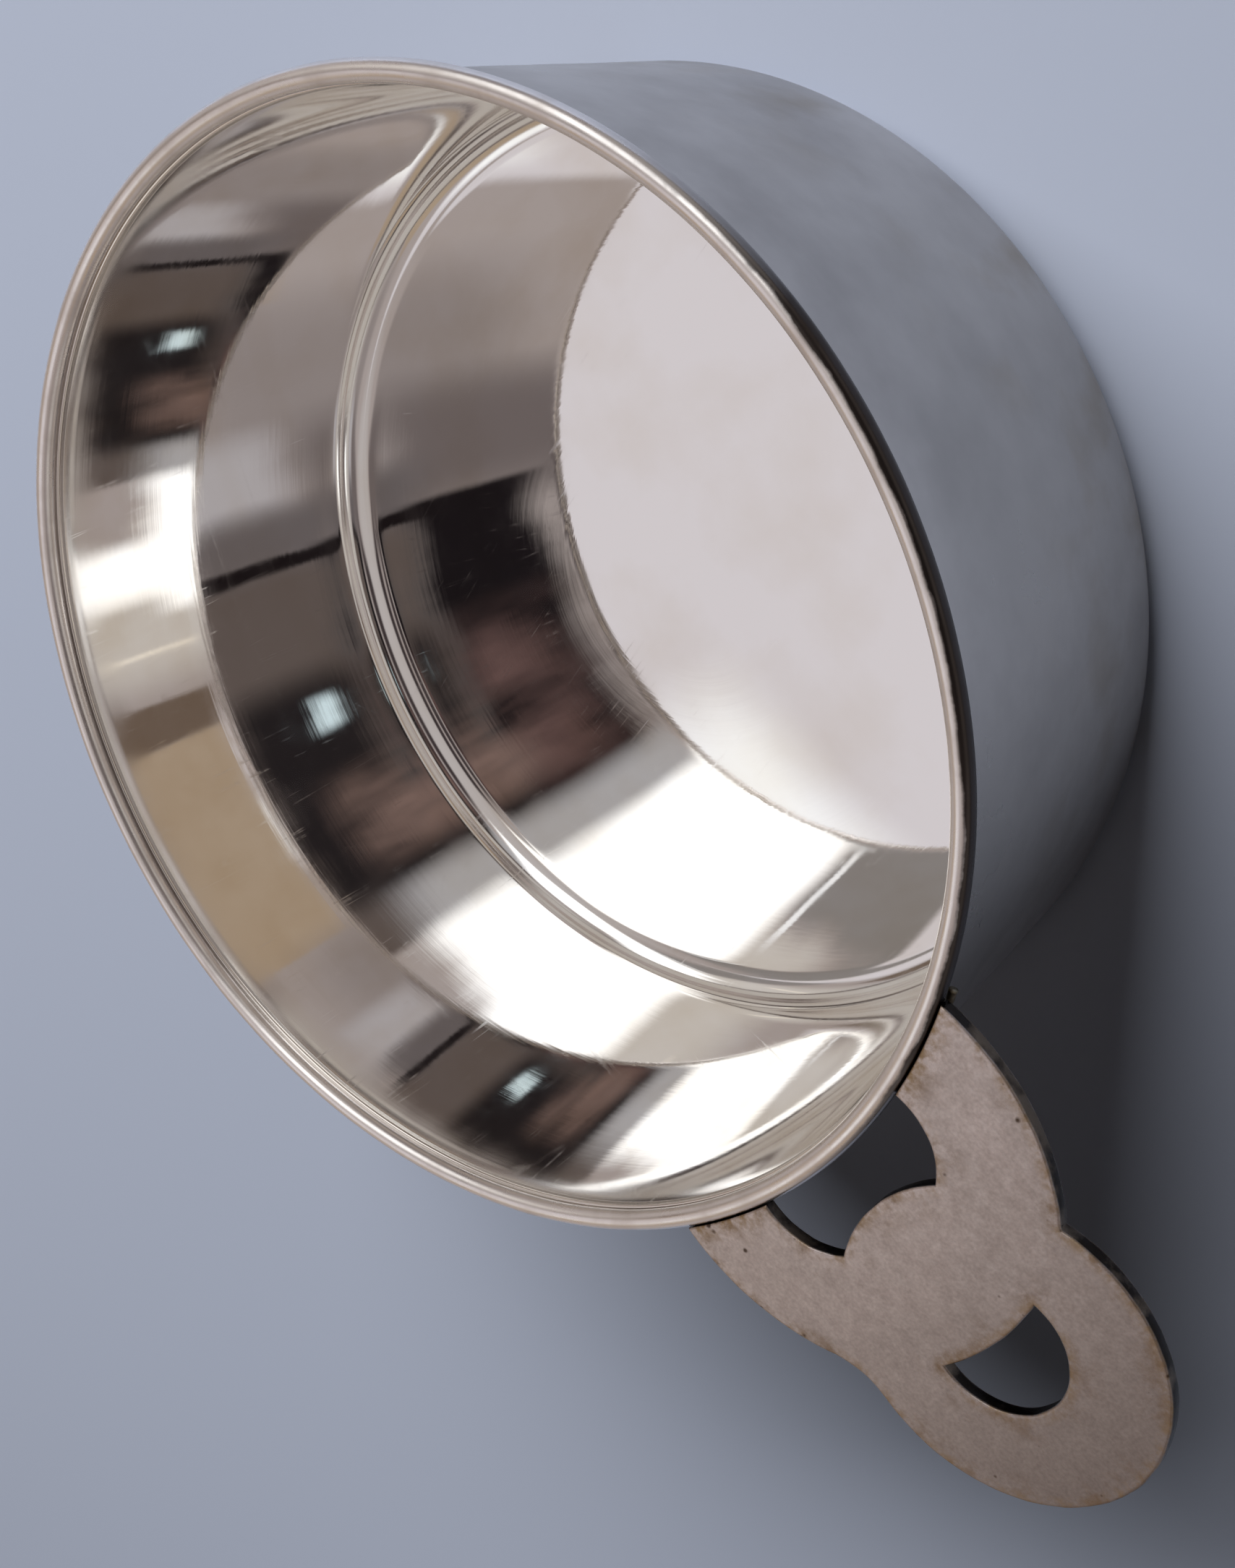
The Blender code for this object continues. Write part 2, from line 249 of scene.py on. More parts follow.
def satinSilver(s):
    material, tree, shader, spot = newMetal("satin sterling silver")
    patches = addNode(tree, "TexNoise", {"Vector": spot, "Scale": 1 / s["patch"], "Detail": 5, "Roughness": 0.6})
    amount = addNode(tree, "MapRange", {"Value": patches, "From Min": 0.38, "From Max": 0.7})
    colour = addNode(tree, "Mix", {"Factor": amount, "A": linear(s["clean"]), "B": linear(s["smudged"])}, out=2,
                     data_type="RGBA")
    for middle, size in s["smudges"]:
        away = addNode(tree, "VectorMath", {0: spot, 1: middle}, out="Value", operation="DISTANCE")
        amount = addNode(tree, "MapRange", {"Value": away, "From Min": size, "From Max": 0.1 * size,
                                            "To Max": s["smudgeAmount"]}, interpolation_type="SMOOTHSTEP")
        colour = addNode(tree, "Mix", {"Factor": amount, "A": colour, "B": linear(s["dull"])}, out=2,
                         data_type="RGBA")
    parts = addNode(tree, "SeparateXYZ", {0: spot}).node
    low = addNode(tree, "MapRange", {"Value": parts.outputs["Z"], "From Min": s["tarnishHeight"][0],
                                     "From Max": s["tarnishHeight"][1], "To Max": 0.7})
    stains = addNode(tree, "TexNoise", {"Vector": spot, "Scale": 1 / s["tarnishPatch"], "Detail": 6})
    stains = addNode(tree, "MapRange", {"Value": stains, "From Min": 0.5, "From Max": 0.72})
    amount = addNode(tree, "Math", {0: low, 1: stains}, operation="MULTIPLY")
    colour = addNode(tree, "Mix", {"Factor": amount, "A": colour, "B": linear(s["tarnished"])}, out=2,
                     data_type="RGBA")
    tree.links.new(colour, shader.inputs["Base Color"])
    rough = addNode(tree, "MapRange", {"Value": patches, "From Min": 0.3, "From Max": 0.75,
                                       "To Min": s["roughness"][0], "To Max": s["roughness"][1]})
    tree.links.new(rough, shader.inputs["Roughness"])
    squeezed = addNode(tree, "Mapping", {"Vector": spot, "Scale": (0.06, 0.06, 1)})
    lines = addNode(tree, "TexNoise", {"Vector": squeezed, "Scale": 1 / s["rubLine"], "Detail": 4})
    bump = addNode(tree, "Bump", {"Height": lines, "Distance": s["rubDepth"]})
    tree.links.new(bump, shader.inputs["Normal"])
    return material


# Drawn silver wire, polished and much handled: a soft bright highlight with nicks, browner in the seam
wireMetal = {
    "clean": "#faf5f2",
    "tarnished": "#b3a294",
    # painted shade on one side's outer flank: its colour, and where it sits
    "shadedFlank": "#2b211d",
    "shadedFlankAt": 50,             # degrees round from the handle
    "patch": 6 * mm,
    "roughness": (0.22, 0.38),
    "nick": 1.3 * mm,
    "nickDepth": 0.012 * mm,
}


def drawnSilver(s):
    material, tree, shader, spot = newMetal("drawn silver wire")
    parts = addNode(tree, "SeparateXYZ", {0: spot}).node
    seam = addNode(tree, "MapRange", {"Value": parts.outputs["Z"], "From Min": rimHeight,
                                      "From Max": rimHeight - 0.9 * wireRadius})
    patches = addNode(tree, "TexNoise", {"Vector": spot, "Scale": 1 / s["patch"], "Detail": 5, "Roughness": 0.6})
    amount = addNode(tree, "MapRange", {"Value": patches, "From Min": 0.5, "From Max": 0.8, "To Max": 0.35})
    amount = addNode(tree, "Math", {0: seam, 1: 0.4, 2: amount}, operation="MULTIPLY_ADD", use_clamp=True)
    colour = addNode(tree, "Mix", {"Factor": amount, "A": linear(s["clean"]), "B": linear(s["tarnished"])}, out=2,
                     data_type="RGBA")

    # painted shade: one side's outer flank is darkened, in streaks along the wire
    flat = addNode(tree, "VectorMath", {0: spot, 1: (1, 1, 0)}, operation="MULTIPLY")
    radius = addNode(tree, "VectorMath", {0: flat}, out="Value", operation="LENGTH")
    streaks = addNode(tree, "MapRange", {"Value": patches, "From Min": 0.35, "From Max": 0.65,
                                         "To Min": 0.28 * wireRadius, "To Max": -0.05 * wireRadius})
    out = addNode(tree, "Math", {0: radius, 1: streaks}, operation="SUBTRACT")
    out = addNode(tree, "MapRange", {"Value": out, "From Min": rimRadius + 0.2 * wireRadius,
                                     "From Max": rimRadius + 0.45 * wireRadius, "To Max": 0.95})
    way = math.radians(s["shadedFlankAt"])
    side = addNode(tree, "VectorMath", {0: flat, 1: (math.cos(way), math.sin(way), 0)}, out="Value",
                   operation="DOT_PRODUCT")
    side = addNode(tree, "MapRange", {"Value": side, "From Min": 0.55 * rimRadius, "From Max": 0.85 * rimRadius})
    amount = addNode(tree, "Math", {0: out, 1: side}, operation="MULTIPLY")
    colour = addNode(tree, "Mix", {"Factor": amount, "A": colour, "B": linear(s["shadedFlank"])}, out=2,
                     data_type="RGBA")
    tree.links.new(colour, shader.inputs["Base Color"])
    rough = addNode(tree, "MapRange", {"Value": patches, "From Min": 0.3, "From Max": 0.7,
                                       "To Min": s["roughness"][0], "To Max": s["roughness"][1]})
    tree.links.new(rough, shader.inputs["Roughness"])
    nicks = addNode(tree, "TexNoise", {"Vector": spot, "Scale": 1 / s["nick"], "Detail": 4})
    bump = addNode(tree, "Bump", {"Height": nicks, "Distance": s["nickDepth"]})
    tree.links.new(bump, shader.inputs["Normal"])
    return material


# Sheet silver dulled by handling: matt grey with warm mottling, yellow tarnish along the rim and
# the sawn edges, brown specks, painted shade toward the tip, and near-black painted shade broken by brown tarnish on
# the cut sides
wornSettings = {
    "worn": "#d2c6c2",
    "grey": "#c9beba",
    # painted shade toward the tip
    "tip": "#9b918d",
    "yellow": "#a38a66",
    "stain": "#86705a",
    "brown": "#4a3828",
    # painted shade for the sawn sides, near black, and the brown tarnish that breaks it
    "side": ("#14100d", "#685c4f"),
    "sideRoughness": 0.26,
    "patch": 5 * mm,
    "mottle": 1.2 * mm,
    "stainPatch": 3.5 * mm,
    "speckSpacing": 1.6 * mm,
    "roughness": (0.34, 0.5),
    "grain": 0.35 * mm,
    "grainDepth": 0.01 * mm,
}


def wornSilver(s):
    material, tree, shader, spot = newMetal("worn sheet silver")
    patches = addNode(tree, "TexNoise", {"Vector": spot, "Scale": 1 / s["patch"], "Detail": 5, "Roughness": 0.6})
    mottle = addNode(tree, "TexNoise", {"Vector": spot, "Scale": 1 / s["mottle"], "Detail": 5, "Roughness": 0.65})
    amount = addNode(tree, "MapRange", {"Value": patches, "From Min": 0.38, "From Max": 0.65})
    colour = addNode(tree, "Mix", {"Factor": amount, "A": linear(s["worn"]), "B": linear(s["grey"])}, out=2,
                     data_type="RGBA")

    # painted shade, darker toward the tip, and speckled all over
    flat = addNode(tree, "VectorMath", {0: spot, 1: (1, 1, 0)}, operation="MULTIPLY")
    radius = addNode(tree, "VectorMath", {0: flat}, out="Value", operation="LENGTH")
    tipShade = addNode(tree, "MapRange", {"Value": radius, "From Min": rimEdge + 4 * mm,
                                      "From Max": rimEdge + 34 * mm})
    colour = addNode(tree, "Mix", {"Factor": tipShade, "A": colour, "B": linear(s["tip"])}, out=2, data_type="RGBA")
    grain = addNode(tree, "TexNoise", {"Vector": spot, "Scale": 1 / s["grain"], "Detail": 4})
    amount = addNode(tree, "MapRange", {"Value": grain, "From Min": 0.3, "From Max": 0.7,
                                        "To Min": 0.88, "To Max": 1.08})
    colour = addNode(tree, "VectorMath", {0: colour, "Scale": amount}, operation="SCALE")

    # tarnish where the plate meets the rim and along its edges, broken up by the mottling
    nearRim = addNode(tree, "MapRange", {"Value": radius, "From Min": rimEdge + 2.2 * mm, "From Max": rimEdge})
    edge = addNode(tree, "Attribute", {}, out="Fac", attribute_name="edgeDistance")
    nearEdge = addNode(tree, "MapRange", {"Value": edge, "From Min": 1.3, "From Max": 0.2, "To Max": 0.7})
    near = addNode(tree, "Math", {0: nearRim, 1: nearEdge}, operation="MAXIMUM")
    amount = addNode(tree, "MapRange", {"Value": mottle, "From Min": 0.42, "From Max": 0.62})
    amount = addNode(tree, "Math", {0: near, 1: amount}, operation="MULTIPLY")
    colour = addNode(tree, "Mix", {"Factor": amount, "A": colour, "B": linear(s["yellow"])}, out=2,
                     data_type="RGBA")

    # soft brown stains spread in from the edges
    inward = addNode(tree, "MapRange", {"Value": edge, "From Min": 3.6, "From Max": 0.6})
    amount = addNode(tree, "TexNoise", {"Vector": spot, "Scale": 1 / s["stainPatch"], "Detail": 6,
                                        "Roughness": 0.7})
    amount = addNode(tree, "MapRange", {"Value": amount, "From Min": 0.51, "From Max": 0.67, "To Max": 0.65})
    amount = addNode(tree, "Math", {0: inward, 1: amount}, operation="MULTIPLY")
    colour = addNode(tree, "Mix", {"Factor": amount, "A": colour, "B": linear(s["stain"])}, out=2,
                     data_type="RGBA")

    # specks of dirt, thick at the edges and sparse over the plate
    speck = addNode(tree, "TexVoronoi", {"Vector": spot, "Scale": 1 / s["speckSpacing"]})
    size = addNode(tree, "TexNoise", {"Vector": spot, "Scale": 0.4 / s["speckSpacing"], "Detail": 3})
    size = addNode(tree, "MapRange", {"Value": size, "From Min": 0.5, "From Max": 0.75, "To Max": 0.22})
    size = addNode(tree, "Math", {0: near, 1: 0.12, 2: size}, operation="MULTIPLY_ADD")
    amount = addNode(tree, "Math", {0: size, 1: speck}, operation="SUBTRACT")
    amount = addNode(tree, "MapRange", {"Value": amount, "From Min": -0.02, "From Max": 0.12, "To Max": 0.9})
    colour = addNode(tree, "Mix", {"Factor": amount, "A": colour, "B": linear(s["brown"])}, out=2,
                     data_type="RGBA")

    # the sawn sides, between the two faces, get near-black painted shade broken by brown tarnish
    parts = addNode(tree, "SeparateXYZ", {0: spot}).node
    side = addNode(tree, "MapRange", {"Value": parts.outputs["Z"], "From Min": plateHigh.z - 0.05 * mm,
                                      "From Max": plateHigh.z - 0.24 * mm, "To Max": 0.96})
    above = addNode(tree, "MapRange", {"Value": parts.outputs["Z"], "From Min": plateLow.z + 0.05 * mm,
                                       "From Max": plateLow.z + 0.24 * mm})
    side = addNode(tree, "Math", {0: side, 1: above}, operation="MULTIPLY")
    amount = addNode(tree, "MapRange", {"Value": patches, "From Min": 0.48, "From Max": 0.6})
    sideShadeAndTarnish = addNode(tree, "Mix", {"Factor": amount, "A": linear(s["side"][0]), "B": linear(s["side"][1])}, out=2,
                  data_type="RGBA")
    colour = addNode(tree, "Mix", {"Factor": side, "A": colour, "B": sideShadeAndTarnish}, out=2, data_type="RGBA")
    tree.links.new(colour, shader.inputs["Base Color"])
    rough = addNode(tree, "MapRange", {"Value": mottle, "From Min": 0.3, "From Max": 0.7,
                                       "To Min": s["roughness"][0], "To Max": s["roughness"][1]})
    rough = addNode(tree, "Mix", {"Factor": side, "A": rough, "B": s["sideRoughness"]})
    tree.links.new(rough, shader.inputs["Roughness"])
    bump = addNode(tree, "Bump", {"Height": grain, "Distance": s["grainDepth"]})
    tree.links.new(bump, shader.inputs["Normal"])
    return material


# Silver solder left as it ran: greyer and browner than the silver, lumpy, half bright
solderSettings = {
    "bright": "#8d8674",
    "dark": "#615646",
    "polished": ("#efe9e2", 0.16),         # inside the rim the seam was buffed with the bowl
    "lump": 0.8 * mm,
    "lumpDepth": 0.03 * mm,
    "roughness": (0.34, 0.55),
}


def silverSolder(s):
    material, tree, shader, spot = newMetal("silver solder")
    lumps = addNode(tree, "TexNoise", {"Vector": spot, "Scale": 1 / s["lump"], "Detail": 4})
    amount = addNode(tree, "MapRange", {"Value": lumps, "From Min": 0.38, "From Max": 0.6})
    colour = addNode(tree, "Mix", {"Factor": amount, "A": linear(s["bright"]), "B": linear(s["dark"])}, out=2,
                     data_type="RGBA")
    flat = addNode(tree, "VectorMath", {0: spot, 1: (1, 1, 0)}, operation="MULTIPLY")
    radius = addNode(tree, "VectorMath", {0: flat}, out="Value", operation="LENGTH")
    inside = addNode(tree, "MapRange", {"Value": radius, "From Min": rimRadius,
                                        "From Max": rimRadius - 0.6 * wireRadius})
    colour = addNode(tree, "Mix", {"Factor": inside, "A": colour, "B": linear(s["polished"][0])}, out=2,
                     data_type="RGBA")
    tree.links.new(colour, shader.inputs["Base Color"])
    rough = addNode(tree, "MapRange", {"Value": lumps, "From Min": 0.3, "From Max": 0.7,
                                       "To Min": s["roughness"][0], "To Max": s["roughness"][1]})
    rough = addNode(tree, "Mix", {"Factor": inside, "A": rough, "B": s["polished"][1]})
    tree.links.new(rough, shader.inputs["Roughness"])
    lumpy = addNode(tree, "MapRange", {"Value": inside, "To Min": 1, "To Max": 0.1})
    bump = addNode(tree, "Bump", {"Height": lumps, "Strength": lumpy, "Distance": s["lumpDepth"]})
    tree.links.new(bump, shader.inputs["Normal"])
    return material


bowlSettings = {
    "wall": 1.1 * mm,
    "floor": 1.0 * mm,
    "taper": 2.6 * mm,         # wall's foot inside its lip
    "ledge": 0.2 * mm,
    "corner": 3.2 * mm,        # inside round between wall and bottom
    "footRound": 2.8 * mm,     # outside round between wall and foot
    "domeRise": 2.0 * mm,
    "footWidth": 1.6 * mm,
    "lipDrop": 0.15 * mm,      # lip's top below the wire's underside
    "lipRound": 0.05 * mm,
    "steps": 288,
    "swell": (0.012 * mm, 24 * mm),        # depth and length of the unevenness inside
    "outerSwell": (0.05 * mm, 14 * mm),
}


def makeBowl(s):
    lipInner = rimRadius - wireRadius - s["ledge"]
    lipOuter = lipInner + s["wall"]
    lipTop = rimHeight - wireRadius - s["lipDrop"]
    floorTop = table + s["floor"]
    lean = math.atan2(s["taper"], lipTop - floorTop)
    upright = (0, -1, 0)       # turns from outwards to upwards

    # the wall leans out a little, and the corner's round touches both wall and domed floor
    cornerHeight = floorTop + s["corner"]
    wallAt = lipInner - (lipTop - cornerHeight) * math.tan(lean)
    cornerAt = wallAt - s["corner"] / math.cos(lean)
    corner = Vector((axisX + cornerAt, 0, cornerHeight))
    domeRadius = (cornerAt ** 2 + s["domeRise"] ** 2) / (2 * s["domeRise"]) - s["corner"]
    domeReach = math.asin(cornerAt / (domeRadius + s["corner"]))
    domeCentre = Vector((axisX, 0, floorTop + s["domeRise"] - domeRadius))

    bm = bmesh.new()
    pen = bm.verts.new((axisX, 0, floorTop + s["domeRise"]))
    pen = arcTo(bm, pen, domeCentre, -domeReach, 40, upright)
    pen = arcTo(bm, pen, corner, math.pi / 2 + domeReach - lean, 28, upright)
    lipRound = s["lipRound"]
    pen = lineTo(bm, pen, (axisX + lipInner, 0, lipTop - lipRound))
    insideWall = pen.link_edges[:]
    pen = arcTo(bm, pen, (axisX + lipInner + lipRound, 0, lipTop - lipRound), -math.pi / 2, 4, upright)
    pen = lineTo(bm, pen, (axisX + lipOuter - lipRound, 0, lipTop))
    pen = arcTo(bm, pen, (axisX + lipOuter - lipRound, 0, lipTop - lipRound), -math.pi / 2, 4, upright)

    # down the outside, round the foot, and up under the domed bottom
    outerRound = s["footRound"]
    outerAt = lipOuter - (lipTop - table - outerRound) * math.tan(lean) - outerRound / math.cos(lean)
    outerCorner = Vector((axisX + outerAt, 0, table + outerRound))
    pen = lineTo(bm, pen, outerCorner + Vector((math.cos(-lean), 0, math.sin(-lean))) * outerRound)
    outsideWall = pen.link_edges[:]
    pen = arcTo(bm, pen, outerCorner, -math.pi / 2 + lean, 20, upright)
    hollowEdge = outerAt - s["footWidth"]
    pen = lineTo(bm, pen, (axisX + hollowEdge, 0, table))
    hollowRadius = (hollowEdge ** 2 + s["domeRise"] ** 2) / (2 * s["domeRise"])
    hollowReach = math.asin(hollowEdge / hollowRadius)
    pen = arcTo(bm, pen, (axisX, 0, table + s["domeRise"] - hollowRadius), hollowReach, 24, upright)
    pen.co.x = axisX
    bmesh.ops.subdivide_edges(bm, edges=insideWall + outsideWall, cuts=26)
    spinRound(bm, s["steps"])

    for face in bm.faces:
        spot = face.calc_center_median()
        midWall = lipInner + s["wall"] / 2 - (lipTop - spot.z) * math.tan(lean)
        isOutside = math.hypot(spot.x - axisX, spot.y) > midWall
        face.material_index = 1 if isOutside or face.normal.z < -0.5 else 0
    inside = [vert for vert in bm.verts if all(face.material_index == 0 for face in vert.link_faces)]
    outside = [vert for vert in bm.verts if all(face.material_index == 1 for face in vert.link_faces)
               and vert.co.z > table + s["domeRise"]]
    unevenBy(bm, inside, *s["swell"], (3, 1, 7), -10 * mm)
    unevenBy(bm, outside, *s["outerSwell"], (8, 4, 2), table + s["domeRise"])
    return finishPiece("bowlSpun", bm, [mirrorSilver(mirrorSettings), satinSilver(satinSettings)],
                       "bowl")


wireSettings = {"steps": 288, "section": 40, "dent": (0.02 * mm, 6 * mm)}


def makeWire(s):
    bm = bmesh.new()
    bmesh.ops.create_circle(bm, segments=s["section"], radius=wireRadius, cap_ends=False)
    bmesh.ops.rotate(bm, verts=bm.verts, matrix=Matrix.Rotation(math.pi / 2, 3, "X"))
    bmesh.ops.translate(bm, verts=bm.verts, vec=(axisX + rimRadius, 0, rimHeight))
    spinRound(bm, s["steps"])
    bm.normal_update()
    depth, length = s["dent"]
    for vert in bm.verts:
        vert.co += vert.normal * depth * (noise.noise(vert.co / length) - 0.5)
    return finishPiece("rimWireDrawn", bm, [drawnSilver(wireMetal)], "rim_wire")


rimSolderSettings = {
    "gap": 0.02 * mm,
    "innerFoot": 0.01 * mm,    # from the lip's inner edge to the seam
    "innerTouch": 0.22 * mm,   # and to where the seam meets the wire
    "outerTouch": 0.5 * mm,
    "outerSwell": 0.16 * mm,
    "outerDrop": 0.35 * mm,    # how far it runs down the outside
    "steps": 288,
}


# The seam that holds the wire on the lip: a thin hollow bead, wider on the outside
def makeRimSolder(s):
    lipInner = rimRadius - wireRadius - bowlSettings["ledge"]
    lipOuter = lipInner + bowlSettings["wall"]
    lipTop = rimHeight - wireRadius - bowlSettings["lipDrop"]
    clear = wireRadius + s["gap"]

    def onWire(radius):
        return Vector((axisX + radius, 0, rimHeight - math.sqrt(clear ** 2 - (radius - rimRadius) ** 2)))

    bm = bmesh.new()
    pen = bm.verts.new((axisX + lipInner + s["innerFoot"], 0, lipTop + s["gap"]))
    innerTouch, outerTouch = onWire(lipInner + s["innerTouch"]), onWire(rimRadius + s["outerTouch"])
    pen = lineTo(bm, pen, innerTouch)
    start = math.atan2(innerTouch.z - rimHeight, innerTouch.x - axisX - rimRadius)
    end = math.atan2(outerTouch.z - rimHeight, outerTouch.x - axisX - rimRadius)
    pen = arcTo(bm, pen, (axisX + rimRadius, 0, rimHeight), end - start, 12, (0, -1, 0))
    pen = lineTo(bm, pen, (axisX + lipOuter + s["outerSwell"], 0, lipTop + s["gap"]))
    pen = lineTo(bm, pen, (axisX + lipOuter + s["gap"], 0, lipTop - s["outerDrop"]))
    pen = lineTo(bm, pen, (axisX + lipOuter + s["gap"], 0, lipTop + s["gap"]))
    lineTo(bm, pen, (axisX + lipInner + s["innerFoot"], 0, lipTop + s["gap"]))
    spinRound(bm, s["steps"])
    return finishPiece("rimSolderSeam", bm, [silverSolder(solderSettings)], "rim_solder")


handleSettings = {
    "rootOuter": 20.2 * mm,
    "rootInner": 10.2 * mm,
    "armOuterBulge": 2.4 * mm,
    "armInnerBulge": 1.3 * mm,
    "waist": (15.3 * mm, 13.9 * mm),
    "windowCorner": (6.6 * mm, 6.9 * mm),
    "windowApex": 4.9 * mm,
    "eyeCorner": (18.9 * mm, 6.3 * mm),
    "eyeNear": 19.7 * mm,
    "eyeFar": 26.4 * mm,
    "seam": 0.03 * mm,
    "edge": 0.3 * mm,
    "edgeSegments": 4,
    "edgeLoop": 0.12 * mm,
    "cell": 0.9 * mm,
    "wornWaist": (3 * mm, 60),             # reach and rounds of smoothing
    "sawMarks": (0.07 * mm, 1.9 * mm),     # depth and length of the unevenness along the cut edge
    "swell": (0.03 * mm, 8 * mm),
}


def drawHandle(bm, s):
    endRadius = rimEdge + s["seam"]
    base = plateLow.z

    def fromRim(reach, side=0.0):
        return (axisX + rimEdge + reach, side)

    def onRim(halfWidth):
        return (axisX + math.sqrt(endRadius ** 2 - halfWidth ** 2), halfWidth)

    def flip(spot):
        return (spot[0], -spot[1])

    waist, corner = fromRim(*s["waist"]), fromRim(*s["windowCorner"])
    rootOuter, rootInner = onRim(s["rootOuter"]), onRim(s["rootInner"])
    rootMiddle = onRim((s["rootOuter"] + s["rootInner"]) / 2)
    pen = bm.verts.new((*corner, base))
    pen = arcBulged(bm, pen, rootInner, -s["armInnerBulge"], 24)
    pen = arcOver(bm, pen, rootMiddle, rootOuter, 16)
    pen = arcBulged(bm, pen, waist, s["armOuterBulge"], 40)
    pen = arcOver(bm, pen, (plateHigh.x, 0), flip(waist), 140)
    pen = arcBulged(bm, pen, flip(rootOuter), s["armOuterBulge"], 40)
    pen = arcOver(bm, pen, flip(rootMiddle), flip(rootInner), 16)
    pen = arcBulged(bm, pen, flip(corner), -s["armInnerBulge"], 24)
    pen = arcOver(bm, pen, fromRim(s["windowApex"]), corner, 48)
    eyeCorner = fromRim(*s["eyeCorner"])
    pen = bm.verts.new((*eyeCorner, base))
    pen = arcOver(bm, pen, fromRim(s["eyeFar"]), flip(eyeCorner), 72)
    arcOver(bm, pen, fromRim(s["eyeNear"]), eyeCorner, 36)
    bmesh.ops.remove_doubles(bm, verts=bm.verts, dist=0.0005 * mm)

    # one waist is worn round
    reach, rounds = s["wornWaist"]
    worn = [vert for vert in bm.verts if (vert.co.xy - Vector(flip(waist))).length < reach]
    for i in range(rounds):
        bmesh.ops.smooth_vert(bm, verts=worn, factor=0.5, use_axis_x=True, use_axis_y=True)


def makeHandle(s):
    bm = bmesh.new()
    drawHandle(bm, s)
    outline = KDTree(len(bm.verts))
    for i, vert in enumerate(bm.verts):
        outline.insert((vert.co.x, vert.co.y, 0), i)
    outline.balance()
    bmesh.ops.triangle_fill(bm, use_beauty=True, use_dissolve=False, edges=bm.edges[:])
    raised = bmesh.ops.extrude_face_region(bm, geom=bm.faces[:])
    moved = [part for part in raised["geom"] if isinstance(part, bmesh.types.BMVert)]
    bmesh.ops.translate(bm, verts=moved, vec=(0, 0, plateHigh.z - plateLow.z))
    bmesh.ops.recalc_face_normals(bm, faces=bm.faces)
    rims = [edge for edge in bm.edges if abs(edge.verts[0].co.z - edge.verts[1].co.z) < 0.01 * mm
            and edge.calc_face_angle(0) > 1]
    bmesh.ops.bevel(bm, geom=rims, offset=s["edge"], offset_type="OFFSET", segments=s["edgeSegments"],
                    profile=0.5, affect="EDGES", material=-1, clamp_overlap=True)

    # a narrow loop keeps the faces flat up to the round edge, and small cells carry the edge distance
    bm.normal_update()
    flats = [face for face in bm.faces if abs(face.normal.z) > 0.999]
    bmesh.ops.inset_region(bm, faces=flats, thickness=s["edgeLoop"], use_boundary=True, use_even_offset=True)
    for axis in (0, 1):
        span = plateHigh[axis] - plateLow[axis]
        count = round(span / s["cell"])
        normal = Vector((1 - axis, axis, 0))
        for i in range(1, count):
            bmesh.ops.bisect_plane(bm, geom=bm.verts[:] + bm.edges[:] + bm.faces[:], dist=0.002 * mm,
                                   plane_co=normal * (plateLow[axis] + span * i / count), plane_no=normal)
    bm.normal_update()
    distance = bm.verts.layers.float.new("edgeDistance")       # in millimetres
    for vert in bm.verts:
        away = outline.find((vert.co.x, vert.co.y, 0))[2]
        vert[distance] = away / mm
        fromWire = Vector((vert.co.x - axisX, vert.co.y)).length - rimEdge
        free = min(1, max(0, fromWire / (1.5 * mm) - 0.3))
        depth, length = s["sawMarks"]
        across = Vector((vert.normal.x, vert.normal.y, 0))
        vert.co += across * depth * free * noise.noise(vert.co / length)
        depth, length = s["swell"]
        if vert.normal.z > 0:
            vert.co.z += depth * min(1, away / mm) * (noise.noise(vert.co / length) - 0.4)
    return finishPiece("handlePlate", bm, [wornSilver(wornSettings)], "handle")


armSolderSettings = {
    "radius": 0.42 * mm,
    "inset": (1.5 * mm, -0.35 * mm),       # from the arm's inner and outer corner
    "steps": 60,
    "section": 16,
    "lump": (0.09 * mm, 1.1 * mm),
}


# Solder drawn in under an arm, along the wire
def makeArmSolder(s, node, name, side):
    low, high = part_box(node)
    drop = (low.z + high.z) / 2
    reach = math.hypot(high.x - axisX, min(abs(low.y), abs(high.y))) - (high.z - low.z) / 2
    start = math.asin((handleSettings["rootInner"] + s["inset"][0]) / reach)
    end = math.asin((handleSettings["rootOuter"] - s["inset"][1]) / reach)
    bm = bmesh.new()
    bmesh.ops.create_circle(bm, segments=s["section"], radius=s["radius"], cap_ends=True)
    bmesh.ops.rotate(bm, verts=bm.verts, matrix=Matrix.Rotation(math.pi / 2, 3, "X"))
    bmesh.ops.translate(bm, verts=bm.verts, vec=(axisX + reach, 0, drop))
    turn = Matrix.Rotation(side * start, 3, "Z")
    bmesh.ops.rotate(bm, verts=bm.verts, cent=(axisX, 0, 0), matrix=turn)
    bmesh.ops.spin(bm, geom=bm.faces[:], cent=(axisX, 0, 0), axis=(0, 0, side), angle=end - start,
                   steps=s["steps"])
    bmesh.ops.recalc_face_normals(bm, faces=bm.faces)
    bm.normal_update()
    depth, length = s["lump"]
    for vert in bm.verts:
        vert.co += vert.normal * depth * (noise.noise(vert.co / length) - 0.5)
    return finishPiece(name, bm, [silverSolder(solderSettings)], node)


makeBowl(bowlSettings)
makeWire(wireSettings)
makeRimSolder(rimSolderSettings)
makeHandle(handleSettings)
makeArmSolder(armSolderSettings, "handle_solder_left", "armSolderLeft", 1)
makeArmSolder(armSolderSettings, "handle_solder_right", "armSolderRight", -1)
print("all pieces done")


floorSettings = {"size": 0.9, "colour": "#bec6d6", "roughness": 0.85, "drop": 0.05 * mm}


